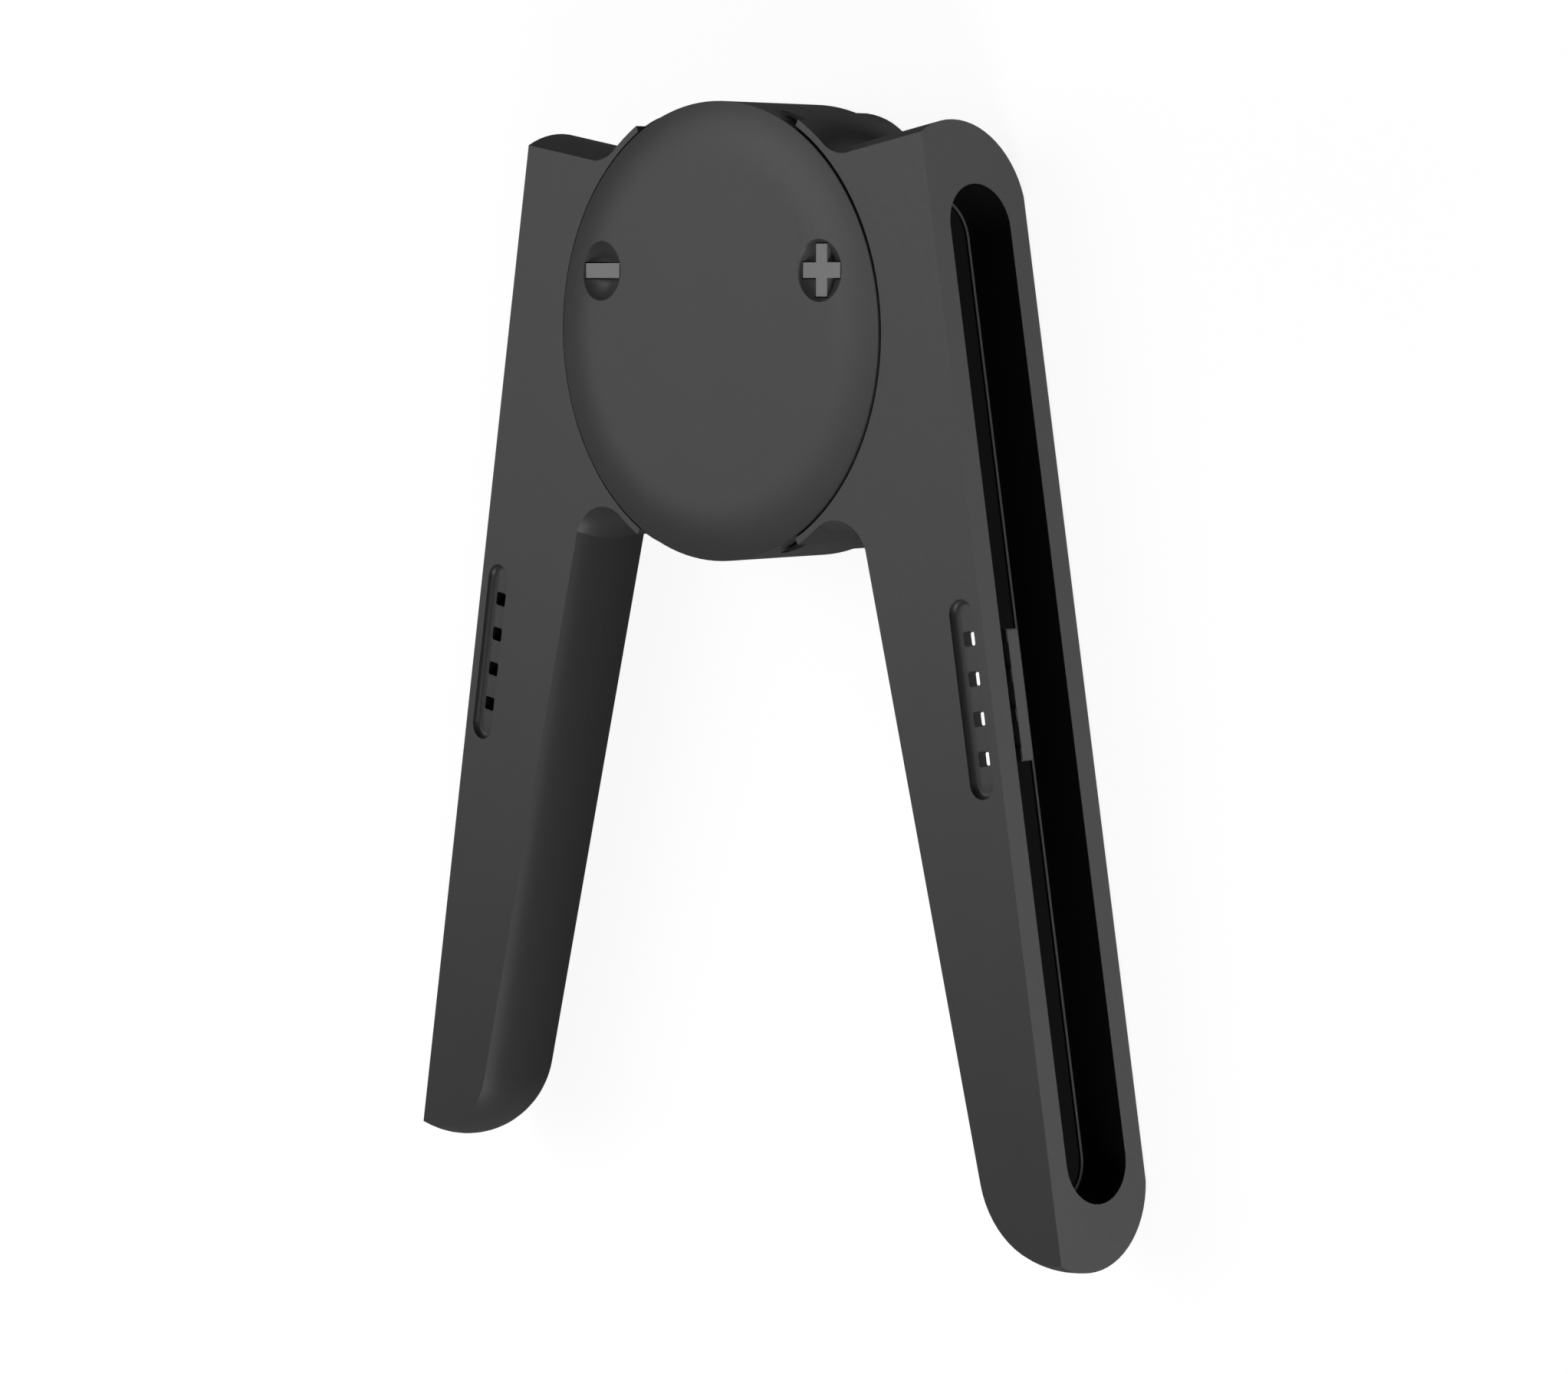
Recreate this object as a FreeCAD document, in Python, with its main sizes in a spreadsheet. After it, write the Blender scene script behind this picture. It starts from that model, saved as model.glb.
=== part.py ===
import FreeCAD, Part
import Sketcher
import math
import os

# Controller grip: a round hub that carries two splayed arms, one for each controller half.
# +X is to the right and +Y up along the grip, both seen from the front, and +Z points out of the front.
# The origin is on the hub's axis, in the hub's flat back face, which is what the grip lies on.
# Every length is in millimetres and every angle in degrees.

DRIVING_SIZES = {
    # Hub
    "hub_radius": 22.0,
    "hub_depth": 13.1,
    "rim_lift": 0.15,
    "crown_rise": 0.98,
    "crown_reach": 5.5,
    "cover_plate": 0.9,
    "cover_wall": 1.6,
    "back_plate": 1.7,
    "parting_offset": 0.2,
    "parting_bevel": 0.12,
    "back_edge_bevel": 0.5,
    # Arms
    "splay_angle": 10.0,
    "closing_angle": 10.0,
    "back_set_back": 0.4,
    "arm_reach": 8.1,
    "arm_above": 14.65,
    "arm_below": 91.4,
    "profile_set_back": 4.4,
    "profile_overrun": 0.1,
    "root_width": 15.5,
    "width_taper": 0.0806,
    "corner_growth": 1.1,
    "ear_gap": 0.25,
    "ear_wall": 0.65,
    "ear_angle": 60.5,
    "tail_angle": 9.0,
    "tail_tip": 0.12,
    "tail_bulge": 0.08,
    "tail_set_back": 1.2,
    "web_radius": 4.25,
    "web_sink": 0.03,
    # Hinge
    "knuckle_radius": 8.0,
    "tongue_angle": 33.0,
    "tongue_flare_angle": 30.0,
    "stop_clearance_angle": 0.5,
    "spindle_radius": 3.0,
    "spindle_head_overlap": 1.3,
    "spindle_head_thickness": 1.0,
    "spindle_seat": 1.2,
    "seat_fit": 0.02,
    "shaft_clearance": 0.05,
    "slide_gap": 0.35,
    "friction_washer_thickness": 0.3,
    "wave_washer_height": 0.7,
    "wave_washer_thickness": 0.25,
    "washer_inset": 1.2,
    "hinge_boss_height": 3.2,
    # Pocket for the controller half
    "pocket_width": 8.05,
    "pocket_length": 94.2,
    "pocket_depth": 5.5,
    "floor_plate_thickness": 1.2,
    "floor_rim_width": 0.3,
    "floor_rim_height": 0.25,
    "plate_fit": 0.06,
    "plate_screw_pitch": 18.5,
    # Indicator light guide
    "light_recess_width": 2.95,
    "light_recess_overhang": 7.36,
    "light_recess_depth": 0.7,
    "light_recess_fillet": 0.55,
    "light_offset": 2.5,
    "window_size": 1.38,
    "window_corner": 0.25,
    "window_pitch": 3.68,
    "window_count": 4,
    "prong_set_back": 0.97,
    "guide_block_top": 1.8,
    "guide_block_front": 5.1,
    "guide_block_width": 1.4,
    "guide_block_overhang": 0.86,
    "guide_fit": 0.08,
    # Buttons
    "button_inset": 6.7,
    "button_y": 5.9,
    "dish_radius": 2.95,
    "dish_depth": 1.2,
    "key_length": 4.9,
    "key_bar_width": 1.45,
    "key_set_back": 0.28,
    "key_fit": 0.12,
    "key_flange_overhang": 0.45,
    "key_flange_thickness": 0.6,
    "key_flange_gap": 0.1,
    "dome_base_radius": 2.2,
    "dome_top_radius": 1.2,
    "dome_wall": 0.35,
    "dome_height": 1.55,
    # Button board
    "board_fit": 0.5,
    "board_thickness": 0.8,
    "board_bore_clearance": 0.9,
    "board_clearance": 0.7,
    "board_post_radius": 2.0,
    "board_post_inset": 6.4,
    # Screws
    "cover_screw_angle": 63.1,
    "cover_boss_inset": 1.1,
    "cover_boss_radius": 2.7,
    "cover_boss_step": 0.3,
    "cover_screw_seat": 3.2,
    "cover_screw_headroom": 2.0,
    "small_screw_length": 2.6,
    "screw_tip_gap": 0.3,
    "screw_radius": 0.95,
    "screw_head_radius": 1.8,
    "screw_head_height": 1.1,
    "screw_fit": 0.05,
    "head_fit": 0.25,
    "drive_width": 0.45,
    "drive_depth": 0.5,
}

document = FreeCAD.newDocument("controller_grip")


def make_sheet(sizes):
    """Write the driving sizes to a spreadsheet, one alias for each."""
    sheet = document.addObject("Spreadsheet::Sheet", "Sizes")
    for row, (alias, value) in enumerate(sizes.items(), start=1):
        sheet.set(f"A{row}", alias.replace("_", " "))
        sheet.set(f"B{row}", str(value))
        sheet.setAlias(f"B{row}", alias)
    document.recompute()
    return sheet


sheet = make_sheet(DRIVING_SIZES)


def size(alias):
    """Read one driving size back from the sheet."""
    return float(sheet.get(alias))


# Hub and arm sizes worked out from the driving sizes

ARM_BACK = size("back_set_back")
ARM_DEPTH = size("hub_depth") - ARM_BACK
OUTER_X = size("hub_radius") + size("arm_reach")
INNER_WALL = size("hub_radius") - size("cover_wall")
PARTING = size("hub_depth") / 2 + size("parting_offset")
COVER_UNDERSIDE = size("hub_depth") - size("cover_plate")
CROWN_FLAT = size("hub_radius") - size("crown_reach")
RIM_HEIGHT = size("hub_depth") + size("rim_lift")
CROWN_TOP = RIM_HEIGHT + size("crown_rise")
EAR_INNER = size("hub_radius") + size("ear_gap")
EAR_OUTER = EAR_INNER + size("ear_wall")
PROFILE_HEIGHT = size("hub_depth") - size("profile_set_back")
PROFILE_RADIUS = ARM_DEPTH - size("profile_set_back") + size("profile_overrun")
CORNER_RADIUS = PROFILE_RADIUS + size("corner_growth")
ARM_MIDDLE = -(size("arm_below") - size("arm_above")) / 2

# Keys, domes and board, from the front down

KEY_FACE = CROWN_TOP - size("key_set_back")
KEY_FLANGE_RADIUS = size("key_length") / 2 + size("key_flange_overhang")
FLANGE_TOP = COVER_UNDERSIDE - size("key_flange_gap")
FLANGE_BOTTOM = FLANGE_TOP - size("key_flange_thickness")
DOME_TOP = FLANGE_BOTTOM - size("shaft_clearance")
BOARD_TOP = DOME_TOP - size("dome_height")
BOARD_BOTTOM = BOARD_TOP - size("board_thickness")
BOARD_DROP = COVER_UNDERSIDE - BOARD_TOP
BOARD_RADIUS = INNER_WALL - size("board_fit")
BOARD_POST_Y = BOARD_RADIUS - size("board_post_inset")
BUTTON_X = size("hub_radius") - size("button_inset")

# Hinge stack, from the back up to the board

HINGE_GAP = size("shaft_clearance")
SPINDLE_FOOT = size("hinge_boss_height") - size("spindle_seat")
SPINDLE_HEAD_RADIUS = size("spindle_radius") + size("spindle_head_overlap")
BOARD_BORE_RADIUS = SPINDLE_HEAD_RADIUS + size("board_bore_clearance")
WASHER_RADIUS = size("knuckle_radius") - size("washer_inset")
RIGHT_KNUCKLE_HEIGHT = size("hinge_boss_height") + size("wave_washer_height") + 2 * HINGE_GAP
WASHER_ROOM = size("friction_washer_thickness") + 2 * HINGE_GAP
KNUCKLE_ROOM = BOARD_BOTTOM - size("board_clearance") - RIGHT_KNUCKLE_HEIGHT - WASHER_ROOM
KNUCKLE_THICKNESS = KNUCKLE_ROOM / 2
FRICTION_WASHER_HEIGHT = RIGHT_KNUCKLE_HEIGHT + KNUCKLE_THICKNESS + HINGE_GAP
LEFT_KNUCKLE_HEIGHT = RIGHT_KNUCKLE_HEIGHT + KNUCKLE_THICKNESS + WASHER_ROOM
SPINDLE_HEAD_HEIGHT = LEFT_KNUCKLE_HEIGHT + KNUCKLE_THICKNESS + HINGE_GAP
SLOT_LOW = RIGHT_KNUCKLE_HEIGHT - size("slide_gap")
SLOT_HIGH = LEFT_KNUCKLE_HEIGHT + KNUCKLE_THICKNESS + size("slide_gap")

# Pocket, light guide and screws

POCKET_FRONT_WALL = (ARM_DEPTH - size("pocket_width")) / 2
POCKET_MIDDLE_HEIGHT = ARM_BACK + ARM_DEPTH / 2
WINDOW_X = OUTER_X - size("light_offset")
WINDOW_SPAN = (size("window_count") - 1) * size("window_pitch")
GUIDE_BLOCK_LENGTH = WINDOW_SPAN + size("guide_block_overhang")
RECESS_FLOOR = size("hub_depth") - size("light_recess_depth")
PLATE_FACE_X = OUTER_X - size("pocket_depth")
PLATE_BACK_X = PLATE_FACE_X - size("floor_plate_thickness")
COVER_SCREW_CIRCLE = INNER_WALL - size("cover_boss_radius") - size("cover_boss_inset")
COVER_SCREW_LENGTH = COVER_UNDERSIDE - size("cover_screw_seat") - size("cover_screw_headroom")
PILOT_RADIUS = size("screw_radius") + size("screw_fit")


WEB_STATIONS = 8


class Via(tuple):
    """A point that the arc to the next corner passes through."""


def polar(radius, angle):
    """Return the point at a radius and an angle in degrees."""
    return (radius * math.cos(math.radians(angle)), radius * math.sin(math.radians(angle)))


def new_body(label):
    """Start a sub-part."""
    body = document.addObject("PartDesign::Body", label)
    body.Label = label
    return body


def new_sketch(body, name, plane="XY_Plane", height=0.0):
    """Place an empty sketch on one of the body's own planes, at a height above it."""
    sketch = body.newObject("Sketcher::SketchObject", name)
    support = [item for item in body.Origin.OriginFeatures if item.Role == plane][0]
    sketch.AttachmentSupport = [(support, "")]
    sketch.MapMode = "FlatFace"
    sketch.AttachmentOffset = FreeCAD.Placement(FreeCAD.Vector(0, 0, height), FreeCAD.Rotation())
    return sketch


def draw_outline(sketch, corners, side=1):
    """Draw a closed outline of straight lines, and of arcs where a Via follows a corner."""
    points = [(side * x, y) for x, y in corners]
    straight = [index for index, corner in enumerate(corners) if not isinstance(corner, Via)]
    ends = []
    for place, start in enumerate(straight):
        stop = straight[(place + 1) % len(straight)]
        first = FreeCAD.Vector(*points[start], 0)
        last = FreeCAD.Vector(*points[stop], 0)
        follower = (start + 1) % len(corners)
        forward = True
        if isinstance(corners[follower], Via):
            middle = FreeCAD.Vector(*points[follower], 0)
            forward = (middle - first).cross(last - middle).z > 0
            edge = Part.Arc(first, middle, last) if forward else Part.Arc(last, middle, first)
        else:
            edge = Part.LineSegment(first, last)
        index = sketch.addGeometry(edge, False)
        ends.append((index, 1 if forward else 2, 2 if forward else 1))
    for this, following in zip(ends, ends[1:] + ends[:1]):
        joint = Sketcher.Constraint("Coincident", this[0], this[2], following[0], following[1])
        sketch.addConstraint(joint)


def draw_circle(sketch, centre, radius, expression=None):
    """Draw a circle whose radius follows an expression on the sheet."""
    middle = FreeCAD.Vector(*centre, 0)
    index = sketch.addGeometry(Part.Circle(middle, FreeCAD.Vector(0, 0, 1), radius), False)
    constraint = sketch.addConstraint(Sketcher.Constraint("Radius", index, radius))
    if expression:
        sketch.setExpression(f"Constraints[{constraint}]", expression)


def draw_box(sketch, low, high, side=1):
    """Draw a rectangle from its low corner to its high corner."""
    draw_outline(sketch, [low, (high[0], low[1]), high, (low[0], high[1])], side)


def draw_stadium(sketch, middle, length, width, along_y=True):
    """Draw a straight slot with round ends."""
    radius = width / 2
    half = length / 2 - radius
    if along_y:
        corners = [(-radius, -half), Via((0, -half - radius)), (radius, -half),
                   (radius, half), Via((0, half + radius)), (-radius, half)]
    else:
        corners = [(-half, radius), Via((-half - radius, 0)), (-half, -radius),
                   (half, -radius), Via((half + radius, 0)), (half, radius)]
    moved = [type(corner)((corner[0] + middle[0], corner[1] + middle[1])) for corner in corners]
    draw_outline(sketch, moved)


def pad(body, sketch, expression, reverse=False):
    """Pad a sketch by a length from the sheet."""
    feature = body.newObject("PartDesign::Pad", sketch.Name + "_pad")
    feature.Profile = sketch
    feature.setExpression("Length", expression)
    feature.Reversed = reverse
    sketch.Visibility = False
    document.recompute()
    return feature


def pocket(body, sketch, expression, reverse=False, taper=0.0):
    """Cut a sketch out by a length from the sheet and make sure that it cuts something."""
    before = body.Shape.Volume
    feature = body.newObject("PartDesign::Pocket", sketch.Name + "_cut")
    feature.Profile = sketch
    feature.setExpression("Length", expression)
    feature.Reversed = reverse
    feature.TaperAngle = taper
    sketch.Visibility = False
    document.recompute()
    if not body.Shape.Volume < before - 1e-6:
        raise RuntimeError(f"{feature.Name} cuts nothing")
    return feature


def revolve(body, sketch):
    """Turn a sketch of the XZ plane about the Z axis."""
    feature = body.newObject("PartDesign::Revolution", sketch.Name + "_turned")
    feature.Profile = sketch
    feature.ReferenceAxis = (sketch, ["V_Axis"])
    feature.Angle = 360
    sketch.Visibility = False
    document.recompute()
    return feature


# Hub covers

def crown_profile():
    """Return the corners of the crowned front skin, from the axis to the rim, with its arc."""
    flat = CROWN_FLAT
    reach = size("crown_reach")
    drop = size("crown_rise")
    arc_radius = (reach ** 2 + drop ** 2) / (2 * drop)
    half_turn = math.asin(reach / arc_radius) / 2
    middle = (flat + arc_radius * math.sin(half_turn),
              CROWN_TOP - arc_radius * (1 - math.cos(half_turn)))
    return [(0, CROWN_TOP), (flat, CROWN_TOP), Via(middle), (size("hub_radius"), RIM_HEIGHT)]


def cut_hinge_slots(body, low, high):
    """Cut the two openings in the hub's wall that the arms' tongues turn in."""
    stop = size("stop_clearance_angle")
    above = size("tongue_angle") + stop
    below = -size("tongue_angle") - size("closing_angle") - stop
    inner = INNER_WALL - size("cover_wall")
    outer = size("hub_radius") + size("cover_wall")
    middle = (above + below) / 2
    corners = [polar(inner, below), polar(outer, below), Via(polar(outer, middle)),
               polar(outer, above), polar(inner, above), Via(polar(inner, middle))]
    for side, name in ((1, "right"), (-1, "left")):
        sketch = new_sketch(body, f"{body.Name}_{name}_slot", height=high)
        draw_outline(sketch, corners, side)
        pocket(body, sketch, f"{high - low} mm")


def screw_places():
    """Return the places of the four cover screws."""
    across, along = polar(COVER_SCREW_CIRCLE, size("cover_screw_angle"))
    return [(x * across, y * along) for x in (-1, 1) for y in (-1, 1)]


def key_outline(kind, growth):
    """Return the outline of a minus or plus key, grown all round by a gap."""
    long = size("key_length") / 2 + growth
    short = size("key_bar_width") / 2 + growth
    if kind == "minus":
        return [(-long, -short), (long, -short), (long, short), (-long, short)]
    return [(-long, -short), (-short, -short), (-short, -long), (short, -long),
            (short, -short), (long, -short), (long, short), (short, short),
            (short, long), (-short, long), (-short, short), (-long, short)]


BUTTONS = (("minus", -1), ("plus", 1))


def button_place(side):
    """Return where a button's middle is on the hub."""
    return (side * BUTTON_X, size("button_y"))


def moved_outline(outline, place):
    """Shift an outline to a place."""
    return [type(corner)((corner[0] + place[0], corner[1] + place[1])) for corner in outline]


def make_front_cover():
    """Model the crowned front cover with its skirt, dishes, bosses and board posts."""
    body = new_body("hub_front_cover")
    shell = new_sketch(body, "front_shell", "XZ_Plane")
    inner = INNER_WALL
    parting = PARTING
    bevel = size("parting_bevel")
    corners = crown_profile() + [(size("hub_radius"), parting + bevel),
                                 (size("hub_radius") - bevel, parting), (inner, parting),
                                 (inner, COVER_UNDERSIDE), (0, COVER_UNDERSIDE)]
    draw_outline(shell, corners)
    revolve(body, shell)

    bosses = new_sketch(body, "front_bosses", height=COVER_UNDERSIDE)
    for place in screw_places():
        draw_circle(bosses, place, size("cover_boss_radius") - size("cover_boss_step"),
                    "Sizes.cover_boss_radius - Sizes.cover_boss_step")
    pad(body, bosses, f"{COVER_UNDERSIDE - size('cover_screw_seat') - size('back_plate')} mm", True)

    posts = new_sketch(body, "board_posts", height=COVER_UNDERSIDE)
    for way in (-1, 1):
        draw_circle(posts, (0, way * BOARD_POST_Y), size("board_post_radius"),
                    "Sizes.board_post_radius")
    pad(body, posts, f"{BOARD_DROP} mm", True)

    pilots = new_sketch(body, "cover_screw_pilots", height=size("cover_screw_seat"))
    for place in screw_places():
        draw_circle(pilots, place, PILOT_RADIUS, "Sizes.screw_radius + Sizes.screw_fit")
    pocket(body, pilots, f"{COVER_SCREW_LENGTH + size('screw_tip_gap')} mm", True)

    board_pilots = new_sketch(body, "board_screw_pilots", height=BOARD_TOP)
    for way in (-1, 1):
        draw_circle(board_pilots, (0, way * BOARD_POST_Y), PILOT_RADIUS,
                    "Sizes.screw_radius + Sizes.screw_fit")
    pocket(body, board_pilots, f"{BOARD_DROP} mm", True)

    cut_hinge_slots(body, parting - 1, SLOT_HIGH)

    for kind, side in BUTTONS:
        slot = new_sketch(body, f"{kind}_slot", height=CROWN_TOP)
        outline = key_outline(kind, size("key_fit"))
        draw_outline(slot, moved_outline(outline, button_place(side)))
        pocket(body, slot, f"{CROWN_TOP - FLANGE_BOTTOM} mm")
        dish = body.newObject("PartDesign::SubtractiveSphere", f"{kind}_dish")
        dish.setExpression("Radius", "(Sizes.dish_radius ^ 2 + Sizes.dish_depth ^ 2)"
                                     " / (2 * Sizes.dish_depth)")
        radius = (size("dish_radius") ** 2 + size("dish_depth") ** 2) / (2 * size("dish_depth"))
        middle = FreeCAD.Vector(*button_place(side), CROWN_TOP - size("dish_depth") + radius)
        dish.Placement = FreeCAD.Placement(middle, FreeCAD.Rotation())
        document.recompute()
    return body


def make_back_cover():
    """Model the flat back cover with its skirt, hinge boss and counterbored screw bosses."""
    body = new_body("hub_back_cover")
    shell = new_sketch(body, "back_shell", "XZ_Plane")
    outer = size("hub_radius")
    inner = INNER_WALL
    parting = PARTING
    bevel = size("parting_bevel")
    edge = size("back_edge_bevel")
    boss = WASHER_RADIUS
    bore = size("spindle_radius") + size("seat_fit")
    draw_outline(shell, [(0, 0), (outer - edge, 0), (outer, edge), (outer, parting - bevel),
                         (outer - bevel, parting), (inner, parting), (inner, size("back_plate")),
                         (boss, size("back_plate")), (boss, size("hinge_boss_height")),
                         (bore, size("hinge_boss_height")), (bore, SPINDLE_FOOT), (0, SPINDLE_FOOT)])
    revolve(body, shell)

    sunk = size("back_plate") / 2
    bosses = new_sketch(body, "back_bosses", height=sunk)
    for place in screw_places():
        draw_circle(bosses, place, size("cover_boss_radius"), "Sizes.cover_boss_radius")
    pad(body, bosses, f"{size('cover_screw_seat') + size('back_plate') - sunk} mm")

    heads = new_sketch(body, "screw_counterbores")
    for place in screw_places():
        draw_circle(heads, place, size("screw_head_radius") + size("head_fit"),
                    "Sizes.screw_head_radius + Sizes.head_fit")
    pocket(body, heads, "Sizes.cover_screw_seat", True)

    holes = new_sketch(body, "screw_holes", height=size("cover_screw_seat"))
    for place in screw_places():
        draw_circle(holes, place, size("screw_radius") + size("head_fit"),
                    "Sizes.screw_radius + Sizes.head_fit")
    pocket(body, holes, "2 * Sizes.back_plate", True)

    cut_hinge_slots(body, SLOT_LOW, parting + 1)
    return body


# Hinge pieces

def make_turned(label, corners):
    """Turn an outline of radii and heights about the hub's axis."""
    body = new_body(label)
    profile = new_sketch(body, f"{label}_profile", "XZ_Plane")
    draw_outline(profile, corners)
    revolve(body, profile)
    return body


def make_spindle():
    """Model the headed spindle that both knuckles turn on."""
    shaft = size("spindle_radius")
    head = SPINDLE_HEAD_RADIUS
    top = SPINDLE_HEAD_HEIGHT + size("spindle_head_thickness")
    bevel = size("parting_bevel")
    return make_turned("hinge_spindle", [
        (0, SPINDLE_FOOT), (shaft, SPINDLE_FOOT), (shaft, SPINDLE_HEAD_HEIGHT),
        (head, SPINDLE_HEAD_HEIGHT), (head, top - bevel), (head - bevel, top), (0, top)])


def make_friction_washer():
    """Model the flat washer between the two knuckles."""
    bore = size("spindle_radius") + size("shaft_clearance")
    low = FRICTION_WASHER_HEIGHT
    high = low + size("friction_washer_thickness")
    rim = WASHER_RADIUS
    return make_turned("friction_washer", [(bore, low), (rim, low), (rim, high), (bore, high)])


def make_wave_washer():
    """Model the three-wave spring washer that presses the knuckles together."""
    bore = size("spindle_radius") + 3 * size("shaft_clearance")
    rim = WASHER_RADIUS - 3 * size("shaft_clearance")
    thickness = size("wave_washer_thickness")
    swing = (size("wave_washer_height") - thickness) / 2
    level = size("hinge_boss_height") + HINGE_GAP + swing
    waves = 3
    steps = 8 * waves

    def ring_edge(radius):
        points = []
        for step in range(steps):
            angle = 360 * step / steps
            x, y = polar(radius, angle)
            points.append(FreeCAD.Vector(x, y, level + swing * math.sin(math.radians(waves * angle))))
        curve = Part.BSplineCurve()
        curve.interpolate(points, PeriodicFlag=True)
        return Part.Wire(curve.toShape())

    lower = Part.makeRuledSurface(ring_edge(bore), ring_edge(rim))
    washer = document.addObject("Part::Feature", "wave_washer")
    washer.Label = "wave_washer"
    solid = lower.extrude(FreeCAD.Vector(0, 0, thickness))
    washer.Shape = solid.Solids[0] if solid.Solids else Part.Solid(Part.Shell(solid.Faces))
    return washer


# Arms, modelled upright with the outer face square to X, then turned about the hub's axis

def inner_line(height, inset=0.0):
    """Return the X of an arm's inner side at a height along the arm."""
    width = size("root_width") + size("width_taper") * height
    return OUTER_X - width - inset


def profile_bulge():
    """Return how far the rounded side stands out past the front face's edge."""
    return PROFILE_RADIUS - math.sqrt(PROFILE_RADIUS ** 2 - size("profile_set_back") ** 2)


def blade_outline():
    """Return the arm's widest outline, past the outer face and into the hub."""
    overrun = OUTER_X + 2 * PROFILE_RADIUS
    top = size("arm_above")
    bottom = -size("arm_below")
    slope = size("width_taper")
    stretch = math.sqrt(1 + slope ** 2)
    lean = math.degrees(math.atan(slope))
    radius = CORNER_RADIUS
    bulge = profile_bulge() * stretch

    def inner_x(height):
        return inner_line(height, bulge)

    low_y = bottom + radius
    low_x = inner_x(low_y) + radius * stretch

    def round_point(angle):
        dx, dy = polar(radius, angle)
        return (low_x + dx, low_y + dy)

    return [
        (overrun, bottom), (low_x, bottom), Via(round_point((270 + 180 + lean) / 2)),
        round_point(180 + lean), (inner_x(top), top), (overrun, top)]


def side_recession(turn):
    """Return how far the rounded side lies inside its crest, and at what height, at a turn."""
    radius = PROFILE_RADIUS
    recession = radius * (1 - math.cos(math.radians(turn)))
    return recession, PROFILE_HEIGHT - radius * math.sin(math.radians(turn))


def web_section(recession):
    """Return the web's outline where the rounded side lies a recession inside its crest."""
    radius = size("web_radius")
    sink = size("web_sink")
    hub = EAR_OUTER - sink
    reach = hub + radius
    slope = size("width_taper")
    stretch = math.sqrt(1 + slope ** 2)
    lean = math.degrees(math.atan(slope))

    top_y = size("arm_above") - recession - sink + radius
    top_x = math.sqrt(reach ** 2 - top_y ** 2)
    top_touch = math.degrees(math.atan2(top_y, top_x))

    # The lower fillet's middle lies on x = start - slope * y, at the reach from the hub's axis
    start = inner_line(0, profile_bulge() * stretch) + (recession + sink - radius) * stretch
    a = 1 + slope ** 2
    b = -2 * start * slope
    c = start ** 2 - reach ** 2
    low_y = (-b - math.sqrt(b ** 2 - 4 * a * c)) / (2 * a)
    low_x = start - slope * low_y
    low_touch = math.degrees(math.atan2(low_y, low_x))

    def around(x, y, angle):
        dx, dy = polar(radius, angle)
        return (x + dx, y + dy)

    return [
        polar(hub, top_touch), Via(around(top_x, top_y, (top_touch + 180 + 270) / 2)),
        (top_x, top_y - radius), (EAR_OUTER + size("web_radius") * 0.75, 0),
        around(low_x, low_y, lean), Via(around(low_x, low_y, (low_touch + 180 + lean) / 2)),
        polar(hub, low_touch), (size("hub_radius") - radius, 0)]


def ear_outline():
    """Return the outline of the thin ear that wraps the hub."""
    top = size("ear_angle") - size("splay_angle")
    bottom = -size("ear_angle") - size("splay_angle")
    middle = (top + bottom) / 2
    return [polar(EAR_INNER, bottom), polar(EAR_OUTER, bottom), Via(polar(EAR_OUTER, middle)),
            polar(EAR_OUTER, top), polar(EAR_INNER, top), Via(polar(EAR_INNER, middle))]


def tail_outline(end):
    """Return the outline of the thin tail that runs on past one end of the ear."""
    root = end * size("ear_angle") - size("splay_angle")
    tip = root + end * size("tail_angle")
    overlap = root - end * size("tail_angle") / 4
    middle = (root + tip) / 2
    crest = (EAR_OUTER + EAR_INNER + size("tail_tip")) / 2 + size("tail_bulge")
    return [polar(EAR_INNER, overlap), polar(EAR_OUTER, overlap),
            Via(polar(EAR_OUTER, (overlap + root) / 2)), polar(EAR_OUTER, root),
            Via(polar(crest, middle)), polar(EAR_INNER + size("tail_tip"), tip),
            polar(EAR_INNER, tip), Via(polar(EAR_INNER, (overlap + tip) / 2))]


def tongue_outline():
    """Return the outline of the plate that joins the knuckle to the ear."""
    splay = size("splay_angle")
    top = size("tongue_angle") - splay
    bottom = -size("tongue_angle") - splay
    flare = size("tongue_flare_angle")
    root = size("knuckle_radius") * 0.75
    waist = INNER_WALL - 2 * size("cover_wall")
    reach = (EAR_INNER + EAR_OUTER) / 2
    return [polar(root, bottom - flare), polar(waist, bottom), polar(reach, bottom),
            Via(polar(reach, -splay)), polar(reach, top), polar(waist, top),
            polar(root, top + flare)]


def light_places():
    """Return where each light window's middle is along the arm."""
    count = int(size("window_count"))
    first = -(count - 1) / 2
    return [ARM_MIDDLE + (first + index) * size("window_pitch") for index in range(count)]


def window_outline(place, inset):
    """Return the rounded outline of a light window, drawn in all round by an inset."""
    half = size("window_size") / 2 - inset
    radius = size("window_corner") - inset
    straight = half - radius
    corners = []
    for quarter in range(4):
        turn = 90 * quarter
        x, y = polar(straight * math.sqrt(2), turn + 45)
        for angle in (turn, turn + 45, turn + 90):
            dx, dy = polar(radius, angle)
            kind = Via if angle == turn + 45 else tuple
            corners.append(kind((WINDOW_X + x + dx, place + y + dy)))
    return corners


def plate_screw_places():
    """Return where the floor plate's screws are along the arm, clear of the hub."""
    pitch = size("plate_screw_pitch")
    return [ARM_MIDDLE + pitch * step for step in (-2, -1, 1)]


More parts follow.
